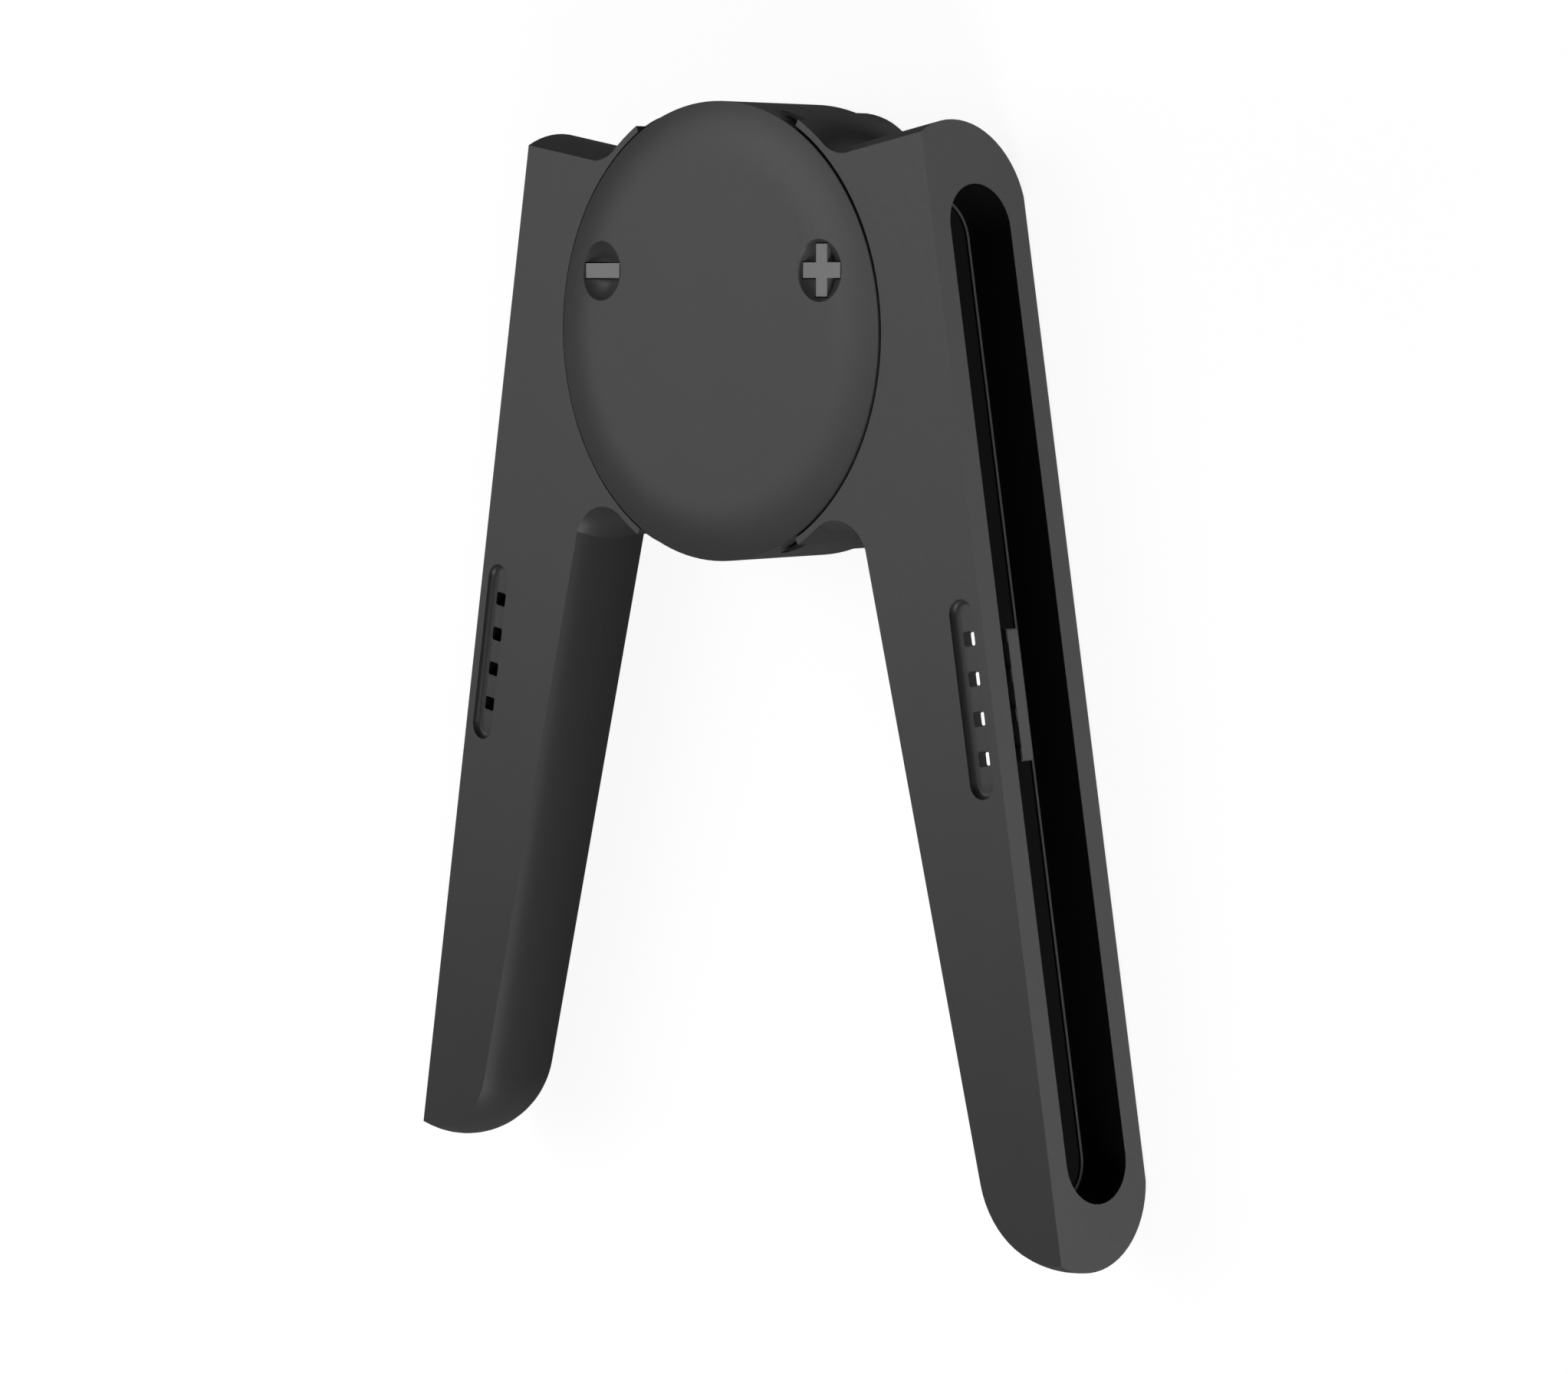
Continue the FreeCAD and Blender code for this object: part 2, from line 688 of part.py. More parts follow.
def edges_at_side(shape, height, side):
    """Return the edges in a plane at a height, apart from the one past the outer face."""
    names = []
    limit = OUTER_X + PROFILE_RADIUS
    for number, edge in enumerate(shape.Edges, start=1):
        box = edge.BoundBox
        flat = abs(box.ZMin - height) < 1e-4 and abs(box.ZMax - height) < 1e-4
        nearest = min(side * box.XMin, side * box.XMax)
        if flat and nearest < limit:
            names.append(f"Edge{number}")
    return names


def make_arm(name, side, knuckle_height):
    """Model one arm with its ear, knuckle, pocket, light windows and screw holes."""
    body = new_body(f"{name}_arm")
    thickness = 2 * PROFILE_RADIUS
    low = PROFILE_HEIGHT - PROFILE_RADIUS
    blade = new_sketch(body, f"{name}_blade", height=low)
    draw_outline(blade, blade_outline(), side)
    base = pad(body, blade, f"{thickness} mm")

    round_side = body.newObject("PartDesign::Fillet", f"{name}_round_side")
    round_side.Base = (base, edges_at_side(base.Shape, low, side) +
                       edges_at_side(base.Shape, low + thickness, side))
    round_side.Radius = PROFILE_RADIUS - 0.02
    document.recompute()

    trim_front = new_sketch(body, f"{name}_front_trim", height=size("hub_depth"))
    far = size("arm_below") * 2
    draw_box(trim_front, (-far, -far), (far, far))
    pocket(body, trim_front, f"{thickness} mm", True)

    trim_outer = new_sketch(body, f"{name}_outer_trim", "YZ_Plane", side * OUTER_X)
    draw_box(trim_outer, (-far, -far), (far, far))
    pocket(body, trim_outer, f"{2 * thickness} mm", side > 0)

    front_turn = -math.degrees(math.asin(size("profile_set_back") / PROFILE_RADIUS))
    sections = []
    for index in range(WEB_STATIONS):
        turn = front_turn + (90 - front_turn) * index / (WEB_STATIONS - 1)
        recession, height = side_recession(turn)
        section = new_sketch(body, f"{name}_web_{index + 1}", height=height)
        draw_outline(section, web_section(recession), side)
        section.Visibility = False
        sections.append(section)
    web = body.newObject("PartDesign::AdditiveLoft", f"{name}_web")
    web.Profile = sections[0]
    web.Sections = sections[1:]
    document.recompute()

    trim_back = new_sketch(body, f"{name}_back_trim", height=ARM_BACK)
    draw_box(trim_back, (-far, -far), (far, far))
    pocket(body, trim_back, f"{thickness} mm")

    trim_hub = new_sketch(body, f"{name}_hub_trim")
    draw_circle(trim_hub, (0, 0), EAR_INNER, "Sizes.hub_radius + Sizes.ear_gap")
    pocket(body, trim_hub, "2 * Sizes.hub_depth", True)

    ear = new_sketch(body, f"{name}_ear", height=ARM_BACK)
    draw_outline(ear, ear_outline(), side)
    pad(body, ear, "Sizes.hub_depth - Sizes.back_set_back")

    for end, word in ((1, "upper"), (-1, "lower")):
        tail = new_sketch(body, f"{name}_{word}_tail", height=ARM_BACK)
        draw_outline(tail, tail_outline(end), side)
        pad(body, tail, "Sizes.hub_depth - Sizes.back_set_back - Sizes.tail_set_back")

    tongue = new_sketch(body, f"{name}_tongue", height=knuckle_height)
    draw_outline(tongue, tongue_outline(), side)
    pad(body, tongue, f"{KNUCKLE_THICKNESS} mm")

    knuckle = new_sketch(body, f"{name}_knuckle", height=knuckle_height)
    draw_circle(knuckle, (0, 0), size("knuckle_radius"), "Sizes.knuckle_radius")
    pad(body, knuckle, f"{KNUCKLE_THICKNESS} mm")

    bore = new_sketch(body, f"{name}_knuckle_bore", height=knuckle_height)
    draw_circle(bore, (0, 0), size("spindle_radius") + size("shaft_clearance"),
                "Sizes.spindle_radius + Sizes.shaft_clearance")
    pocket(body, bore, f"{KNUCKLE_THICKNESS} mm", True)

    middle = (ARM_MIDDLE, POCKET_MIDDLE_HEIGHT)
    hollow = new_sketch(body, f"{name}_pocket", "YZ_Plane", side * OUTER_X)
    draw_stadium(hollow, middle, size("pocket_length"), size("pocket_width"), False)
    pocket(body, hollow, "Sizes.pocket_depth + Sizes.floor_plate_thickness", side < 0)

    recess = new_sketch(body, f"{name}_light_recess", height=size("hub_depth"))
    draw_stadium(recess, (side * WINDOW_X, ARM_MIDDLE),
                 WINDOW_SPAN + size("light_recess_overhang"), size("light_recess_width"))
    trough = pocket(body, recess, "Sizes.light_recess_depth")
    soften = body.newObject("PartDesign::Fillet", f"{name}_recess_fillet")
    soften.Base = (trough, edges_at_side(trough.Shape, RECESS_FLOOR, side))
    soften.setExpression("Radius", "Sizes.light_recess_fillet")
    document.recompute()

    windows = new_sketch(body, f"{name}_light_windows", height=RECESS_FLOOR)
    for place in light_places():
        draw_outline(windows, window_outline(place, 0), side)
    pocket(body, windows, f"{POCKET_FRONT_WALL} mm")

    holes = new_sketch(body, f"{name}_plate_screw_holes", "YZ_Plane", side * PLATE_BACK_X)
    for place in plate_screw_places():
        draw_circle(holes, (place, POCKET_MIDDLE_HEIGHT), PILOT_RADIUS,
                    "Sizes.screw_radius + Sizes.screw_fit")
    pocket(body, holes, "Sizes.small_screw_length + Sizes.screw_tip_gap", side < 0)
    body.Placement.Rotation = FreeCAD.Rotation(FreeCAD.Vector(0, 0, 1), side * size("splay_angle"))
    return body


def make_floor_plate(name, side):
    """Model the plate on the pocket's floor, with a low rim and countersunk holes."""
    body = new_body(f"{name}_floor_plate")
    middle = (ARM_MIDDLE, POCKET_MIDDLE_HEIGHT)
    gap = 2 * size("plate_fit")
    length = size("pocket_length") - gap
    width = size("pocket_width") - gap
    rim = 2 * size("floor_rim_width")
    plate = new_sketch(body, f"{name}_plate", "YZ_Plane", side * PLATE_BACK_X)
    draw_stadium(plate, middle, length, width, False)
    pad(body, plate, "Sizes.floor_plate_thickness + Sizes.floor_rim_height", side < 0)

    tray = new_sketch(body, f"{name}_tray", "YZ_Plane",
                      side * (PLATE_FACE_X + size("floor_rim_height")))
    draw_stadium(tray, middle, length - rim, width - rim, False)
    pocket(body, tray, "Sizes.floor_rim_height", side < 0)

    opening = new_sketch(body, f"{name}_guide_opening", "YZ_Plane", side * PLATE_FACE_X)
    fit = size("guide_fit")
    top = size("hub_depth") - size("guide_block_front") + fit
    low = top - size("guide_block_width") - 2 * fit
    half = GUIDE_BLOCK_LENGTH / 2 + fit
    draw_box(opening, (ARM_MIDDLE - half, low), (ARM_MIDDLE + half, top))
    pocket(body, opening, "2 * Sizes.floor_plate_thickness", side < 0)

    holes = new_sketch(body, f"{name}_plate_holes", "YZ_Plane", side * PLATE_FACE_X)
    for place in plate_screw_places():
        draw_circle(holes, (place, POCKET_MIDDLE_HEIGHT), size("screw_head_radius") + size("screw_fit"),
                    "Sizes.screw_head_radius + Sizes.screw_fit")
    pocket(body, holes, "2 * Sizes.floor_plate_thickness", side < 0)
    body.Placement.Rotation = FreeCAD.Rotation(FreeCAD.Vector(0, 0, 1), side * size("splay_angle"))
    return body


def make_light_guide(name, side):
    """Model the light guide: a bar that stands in the pocket, with a prong for each window."""
    body = new_body(f"{name}_light_guide")
    top = size("hub_depth") - size("guide_block_front")
    low = top - size("guide_block_width")
    half = GUIDE_BLOCK_LENGTH / 2
    block = new_sketch(body, f"{name}_guide_block", "YZ_Plane", side * PLATE_BACK_X)
    draw_box(block, (ARM_MIDDLE - half, low), (ARM_MIDDLE + half, top))
    pad(body, block, "Sizes.pocket_depth + Sizes.floor_plate_thickness - Sizes.guide_block_top",
        side < 0)

    prongs = new_sketch(body, f"{name}_guide_prongs",
                        height=RECESS_FLOOR - size("prong_set_back"))
    for place in light_places():
        draw_outline(prongs, window_outline(place, size("guide_fit")), side)
    pad(body, prongs, "Sizes.guide_block_front + Sizes.guide_block_width"
                      " - Sizes.light_recess_depth - Sizes.prong_set_back", True)
    body.Placement.Rotation = FreeCAD.Rotation(FreeCAD.Vector(0, 0, 1), side * size("splay_angle"))
    return body


# Buttons and their board

def make_button(kind, side):
    """Model a key: its raised sign, and the flange that keeps it under the cover."""
    body = new_body(f"{kind}_button")
    place = button_place(side)
    flange = new_sketch(body, f"{kind}_flange", height=FLANGE_BOTTOM)
    draw_circle(flange, place, KEY_FLANGE_RADIUS,
                "Sizes.key_length / 2 + Sizes.key_flange_overhang")
    pad(body, flange, "Sizes.key_flange_thickness")
    sign = new_sketch(body, f"{kind}_sign", height=FLANGE_BOTTOM)
    draw_outline(sign, moved_outline(key_outline(kind, 0), place))
    pad(body, sign, f"{KEY_FACE - FLANGE_BOTTOM} mm")
    return body


def make_dome(kind, side):
    """Model the soft dome that lifts a key again."""
    body = new_body(f"{kind}_dome")
    profile = new_sketch(body, f"{kind}_dome_profile", "XZ_Plane")
    base = size("dome_base_radius")
    crown = size("dome_top_radius")
    wall = size("dome_wall")
    foot = base + 2 * wall
    top = DOME_TOP
    draw_outline(profile, [(0, top), (crown, top), (base + wall, BOARD_TOP + wall),
                           (foot, BOARD_TOP + wall), (foot, BOARD_TOP), (base, BOARD_TOP),
                           (crown - wall / 2, top - 2 * wall), (0, top - 2 * wall)])
    revolve(body, profile)
    body.Placement.Base = FreeCAD.Vector(*button_place(side), 0)
    return body


def make_board():
    """Model the round board that the domes press on."""
    body = new_body("button_board")
    disc = new_sketch(body, "board_disc", height=BOARD_BOTTOM)
    draw_circle(disc, (0, 0), BOARD_RADIUS, "Sizes.hub_radius - Sizes.cover_wall - Sizes.board_fit")
    draw_circle(disc, (0, 0), BOARD_BORE_RADIUS)
    for place in screw_places():
        draw_circle(disc, place, size("cover_boss_radius"), "Sizes.cover_boss_radius")
    for way in (-1, 1):
        draw_circle(disc, (0, way * BOARD_POST_Y), PILOT_RADIUS,
                    "Sizes.screw_radius + Sizes.screw_fit")
    pad(body, disc, "Sizes.board_thickness")
    return body


# Screws

def screw_shape(shaft_length):
    """Return a pan-head screw that points up, with the underside of its head at the origin."""
    head = size("screw_head_radius")
    drop = size("screw_head_height")
    edge = 0.25 * drop
    shaft = size("screw_radius")
    tip = 0.6 * shaft
    points = [(0, -drop), (head - edge, -drop), (head, edge - drop), (head, 0), (shaft, 0),
              (shaft, shaft_length - tip), (shaft - tip, shaft_length), (0, shaft_length)]
    wire = Part.makePolygon([FreeCAD.Vector(x, 0, z) for x, z in points + points[:1]])
    turned = Part.Face(wire).revolve(FreeCAD.Vector(), FreeCAD.Vector(0, 0, 1), 360)
    width = size("drive_width")
    reach = 1.3 * head
    depth = size("drive_depth")
    for along, across in ((reach, width), (width, reach)):
        slot = Part.makeBox(along, across, depth,
                            FreeCAD.Vector(-along / 2, -across / 2, -drop))
        turned = turned.cut(slot)
    return turned


def make_screws(label, length, placements):
    """Model a set of like screws, one solid at each placement."""
    screws = document.addObject("Part::Feature", label)
    screws.Label = label
    copies = []
    for placement in placements:
        copy = screw_shape(length)
        copy.Placement = placement
        copies.append(copy)
    screws.Shape = Part.makeCompound(copies)
    return screws


def make_cover_screws():
    """Model the four screws that hold the two covers together."""
    seat = size("cover_screw_seat")
    places = [FreeCAD.Placement(FreeCAD.Vector(x, y, seat), FreeCAD.Rotation())
              for x, y in screw_places()]
    return make_screws("cover_screws", COVER_SCREW_LENGTH, places)


def make_board_screws():
    """Model the two screws that hold the board to the front cover."""
    length = size("board_thickness") + BOARD_DROP - size("screw_tip_gap")
    places = [FreeCAD.Placement(FreeCAD.Vector(0, way * BOARD_POST_Y, BOARD_BOTTOM),
                                FreeCAD.Rotation()) for way in (-1, 1)]
    return make_screws("board_screws", length, places)


def make_plate_screws(name, side):
    """Model the three screws that hold a floor plate in its arm."""
    arm = FreeCAD.Placement(FreeCAD.Vector(), FreeCAD.Rotation(FreeCAD.Vector(0, 0, 1),
                                                               side * size("splay_angle")))
    inward = FreeCAD.Rotation(FreeCAD.Vector(0, 1, 0), -90 * side)
    places = []
    for place in plate_screw_places():
        middle = FreeCAD.Vector(side * PLATE_BACK_X, place, POCKET_MIDDLE_HEIGHT)
        places.append(arm.multiply(FreeCAD.Placement(middle, inward)))
    return make_screws(f"{name}_plate_screws", size("small_screw_length"), places)


def build():
    """Build every sub-part and return them in order."""
    parts = [make_front_cover(), make_back_cover(), make_spindle(), make_friction_washer(),
             make_wave_washer(), make_board()]
    for kind, side in BUTTONS:
        parts += [make_button(kind, side), make_dome(kind, side)]
    arms = (("left", -1, LEFT_KNUCKLE_HEIGHT), ("right", 1, RIGHT_KNUCKLE_HEIGHT))
    for name, side, knuckle_height in arms:
        parts += [make_arm(name, side, knuckle_height), make_floor_plate(name, side),
                  make_light_guide(name, side), make_plate_screws(name, side)]
    parts += [make_cover_screws(), make_board_screws()]
    return parts


parts = build()
document.recompute()
for item in document.Objects:
    if "Invalid" in item.State or "Error" in item.State:
        raise RuntimeError(f"{item.Label} failed: {item.State}")
for part in parts:
    if part.Shape.isNull() or not part.Shape.isValid():
        raise RuntimeError(f"{part.Label} has no valid shape")

os.makedirs("parts", exist_ok=True)
for part in parts:
    part.Shape.exportStep(f"parts/{part.Label}.step")
    print(part.Label, len(part.Shape.Solids), round(part.Shape.Volume, 1))
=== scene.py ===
"""Looks of the controller grip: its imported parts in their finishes, a camera and a pale studio."""

import logging
import math
from dataclasses import dataclass
from enum import Enum
from typing import Any

import bmesh
import bpy
from mathutils import Euler, Matrix, Vector


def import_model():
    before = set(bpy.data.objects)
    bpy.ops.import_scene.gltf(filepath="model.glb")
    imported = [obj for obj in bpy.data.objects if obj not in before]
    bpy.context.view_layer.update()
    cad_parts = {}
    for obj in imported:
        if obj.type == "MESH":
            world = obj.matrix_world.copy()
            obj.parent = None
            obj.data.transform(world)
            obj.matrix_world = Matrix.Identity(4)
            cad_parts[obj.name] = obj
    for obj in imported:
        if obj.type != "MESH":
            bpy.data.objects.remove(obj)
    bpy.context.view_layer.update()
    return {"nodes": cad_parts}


LOG = logging.getLogger("controller_grip")
MM = 0.001
# Where nearly all the values of a noise pattern lie, and a narrower span for a clearer shade
NOISE_SPAN = (0.3, 0.7)
SHADE_SPAN = (0.35, 0.65)
BLACK = "000000"
WHITE = "FFFFFF"
Colour = tuple[float, float, float, float]
Nodes = dict[str, bpy.types.Object]


class Side(Enum):
    """Which way an arm stands from the hub."""

    LEFT = -1
    RIGHT = 1

    @property
    def word(self) -> str:
        """Return the side as the parts' names have it."""
        return self.name.lower()


class Sign(Enum):
    """Which sign a key carries."""

    MINUS = "minus"
    PLUS = "plus"


def linear(hex_value: str, factor: float = 1.0) -> Colour:
    """Turn an sRGB hex colour to linear light.

    Args:
        hex_value: The colour as six hex digits.
        factor: How much lighter or darker than that it is.

    Returns:
        Red, green, blue and alpha.
    """
    channels = [int(hex_value[start:start + 2], 16) / 255 for start in (0, 2, 4)]
    light = [c / 12.92 if c <= 0.04045 else ((c + 0.055) / 1.055) ** 2.4 for c in channels]
    return (light[0] * factor, light[1] * factor, light[2] * factor, 1.0)


def add_node(tree: bpy.types.NodeTree, kind: str, properties: dict[str, Any] | None = None,
             values: dict[str | int, Any] | None = None,
             links: dict[str | int, bpy.types.NodeSocket] | None = None) -> bpy.types.Node:
    """Add a node with its settings and incoming links.

    Args:
        tree: The node tree that gets it.
        kind: The node's type name.
        properties: The node's own settings by name.
        values: Fixed input values by the input's name or number.
        links: Output sockets by the name or number of the input that each feeds.

    Returns:
        The new node.
    """
    node = tree.nodes.new(kind)
    for name, value in (properties or {}).items():
        setattr(node, name, value)
    for key, value in (values or {}).items():
        node.inputs[key].default_value = value
    for key, socket in (links or {}).items():
        tree.links.new(socket, node.inputs[key])
    return node


def new_material(name: str) -> tuple[bpy.types.Material, bpy.types.NodeTree, bpy.types.Node]:
    """Start a node material.

    Args:
        name: The material's name.

    Returns:
        The material, its node tree and its shader.
    """
    material = bpy.data.materials.new(name)
    material.use_nodes = True
    return material, material.node_tree, material.node_tree.nodes["Principled BSDF"]


def vary_roughness(tree: bpy.types.NodeTree, shader: bpy.types.Node, noise: bpy.types.Node,
                   roughness: float, variation: float) -> None:
    """Let a noise pattern make the surface a little rougher and smoother.

    Args:
        tree: The material's node tree.
        shader: Its shader.
        noise: The noise node.
        roughness: The mean roughness.
        variation: The most that it goes up or down.
    """
    low, high = NOISE_SPAN
    spread = add_node(tree, "ShaderNodeMapRange", None,
                      {"From Min": low, "From Max": high,
                       "To Min": roughness - variation, "To Max": roughness + variation},
                      {"Value": noise.outputs["Fac"]})
    tree.links.new(spread.outputs["Result"], shader.inputs["Roughness"])


@dataclass(frozen=True)
class PaintedShadeBox:
    """A box, set square in an arm's own frame, where little light reaches the plastic; there shade
    is painted into its colour and sheen.
    """

    side: Side
    low_mm: tuple[float, float, float]
    high_mm: tuple[float, float, float]
    share: float
    splay_deg: float = 10.0

    def painted_light_share(self, tree: bpy.types.NodeTree,
                    place: bpy.types.NodeSocket) -> bpy.types.NodeSocket:
        """Give the share of the colour and the sheen that a point keeps under the painted shade.

        Args:
            tree: The node tree that asks.
            place: The point's Object coordinates.

        Returns:
            The box's own share inside it and one outside.
        """
        low, high = Vector(self.low_mm) * MM, Vector(self.high_mm) * MM
        turn = math.radians(self.splay_deg) * self.side.value
        middle = (low + high) / 2
        middle.x *= self.side.value
        middle.rotate(Euler((0.0, 0.0, turn)))
        # The mapping undoes the arm's turn and makes the box run from -1 to 1 along each axis
        unit = add_node(tree, "ShaderNodeMapping", {"vector_type": "TEXTURE"},
                        {"Location": middle, "Rotation": (0.0, 0.0, turn),
                         "Scale": (high - low) / 2}, {"Vector": place})
        reach = add_node(tree, "ShaderNodeVectorMath", {"operation": "ABSOLUTE"}, None,
                         {0: unit.outputs["Vector"]})
        axes = add_node(tree, "ShaderNodeSeparateXYZ", None, None,
                        {"Vector": reach.outputs["Vector"]})
        wide = add_node(tree, "ShaderNodeMath", {"operation": "MAXIMUM"}, None,
                        {0: axes.outputs["X"], 1: axes.outputs["Y"]})
        farthest = add_node(tree, "ShaderNodeMath", {"operation": "MAXIMUM"}, None,
                            {0: wide.outputs["Value"], 1: axes.outputs["Z"]})
        outside = add_node(tree, "ShaderNodeMath", {"operation": "GREATER_THAN"}, {1: 1.0},
                           {0: farthest.outputs["Value"]})
        share = add_node(tree, "ShaderNodeMapRange", None, {"To Min": self.share},
                         {"Value": outside.outputs["Value"]})
        return share.outputs["Result"]


@dataclass(frozen=True)
class MouldedPlastic:
    """A plastic moulded in a spark-eroded tool, such as the PC-ABS of the covers and arms.

    The tool leaves fine pits of about a fifth of a millimetre. They spread the light, so a dark
    face keeps an even satin look and its reflections have soft edges.
    """

    name: str
    colour: str
    roughness: float = 0.42
    gloss: float = 0.5
    ior: float = 1.58
    pit_mm: float = 0.22
    pit_depth_mm: float = 0.0035
    pit_share: float = 0.35
    cloud_mm: float = 7.0
    shade_variation: float = 0.025
    roughness_variation: float = 0.04
    # Boxes where the colour and the sheen are dimmed as painted shade
    painted_shade_boxes: tuple[PaintedShadeBox, ...] = ()

    def make(self) -> bpy.types.Material:
        """Build the material.

        Returns:
            A material that reads Object coordinates.
        """
        material, tree, shader = new_material(self.name)
        shader.inputs["IOR"].default_value = self.ior
        shader.inputs["Specular IOR Level"].default_value = self.gloss
        place = add_node(tree, "ShaderNodeTexCoord").outputs["Object"]
        # The pits are drawn at their real size, and each octave adds finer ones
        pits = add_node(tree, "ShaderNodeTexNoise", None,
                        {"Scale": 1 / (self.pit_mm * MM), "Detail": 3.0, "Roughness": 0.6},
                        {"Vector": place})
        # The melt's flow leaves clouds a few millimetres wide, barely lighter or darker
        cloud = add_node(tree, "ShaderNodeTexNoise", None,
                         {"Scale": 1 / (self.cloud_mm * MM), "Detail": 2.0}, {"Vector": place})
        shade = add_node(tree, "ShaderNodeMix", None, {"Factor": self.pit_share},
                         {"A": cloud.outputs["Fac"], "B": pits.outputs["Fac"]})
        ramp = add_node(tree, "ShaderNodeValToRGB", None, None, {"Fac": shade.outputs["Result"]})
        darker, lighter = ramp.color_ramp.elements
        darker.position, lighter.position = SHADE_SPAN
        darker.color = linear(self.colour, 1 - self.shade_variation)
        lighter.color = linear(self.colour, 1 + self.shade_variation)
        tree.links.new(ramp.outputs["Color"], shader.inputs["Base Color"])
        if self.painted_shade_boxes:
            self.shade(tree, shader, place, ramp.outputs["Color"])
        vary_roughness(tree, shader, pits, self.roughness, self.roughness_variation)
        bump = add_node(tree, "ShaderNodeBump", None, {"Distance": self.pit_depth_mm * MM},
                        {"Height": pits.outputs["Fac"]})
        tree.links.new(bump.outputs["Normal"], shader.inputs["Normal"])
        return material

    def shade(self, tree: bpy.types.NodeTree, shader: bpy.types.Node,
              place: bpy.types.NodeSocket, colour: bpy.types.NodeSocket) -> None:
        """Paint shade inside the boxes by taking light off the colour and the sheen.

        Args:
            tree: The material's node tree.
            shader: Its shader.
            place: The Object coordinates.
            colour: The plastic's own colour.
        """
        share = self.painted_shade_boxes[0].painted_light_share(tree, place)
        for box in self.painted_shade_boxes[1:]:
            both = add_node(tree, "ShaderNodeMath", {"operation": "MULTIPLY"}, None,
                            {0: share, 1: box.painted_light_share(tree, place)})
            share = both.outputs["Value"]
        # Painted shade: the colour and the sheen are scaled down by the share
        dimmed = add_node(tree, "ShaderNodeVectorMath", {"operation": "SCALE"}, None,
                          {"Vector": colour, "Scale": share})
        tree.links.new(dimmed.outputs["Vector"], shader.inputs["Base Color"])
        sheen = add_node(tree, "ShaderNodeMapRange", None, {"To Max": self.gloss},
                         {"Value": share})
        tree.links.new(sheen.outputs["Result"], shader.inputs["Specular IOR Level"])


@dataclass(frozen=True)
class TurnedSteel:
    """A turned, ground or stamped steel, such as the spindle, the wave washer or a screw.

    The tool's lines run round the Z axis and give the metal a faint streak across its gloss.
    Real ones are some hundredths of a millimetre apart, and they are drawn coarser so that they
    show.
    """

    name: str
    colour: str
    roughness: float = 0.35
    line_mm: float = 0.12
    stretch: float = 12.0
    line_shade: float = 0.92
    roughness_variation: float = 0.08

    def make(self) -> bpy.types.Material:
        """Build the material.

        Returns:
            A metal that reads Object coordinates.
        """
        material, tree, shader = new_material(self.name)
        shader.inputs["Metallic"].default_value = 1.0
        place = add_node(tree, "ShaderNodeTexCoord").outputs["Object"]
        along = add_node(tree, "ShaderNodeMapping", None, {"Scale": (1.0, 1.0, self.stretch)},
                         {"Vector": place})
        lines = add_node(tree, "ShaderNodeTexNoise", None,
                         {"Scale": 1 / (self.line_mm * MM), "Detail": 2.0},
                         {"Vector": along.outputs["Vector"]})
        ramp = add_node(tree, "ShaderNodeValToRGB", None, None, {"Fac": lines.outputs["Fac"]})
        ramp.color_ramp.elements[0].color = linear(self.colour, self.line_shade)
        ramp.color_ramp.elements[1].color = linear(self.colour)
        tree.links.new(ramp.outputs["Color"], shader.inputs["Base Color"])
        vary_roughness(tree, shader, lines, self.roughness, self.roughness_variation)
        return material


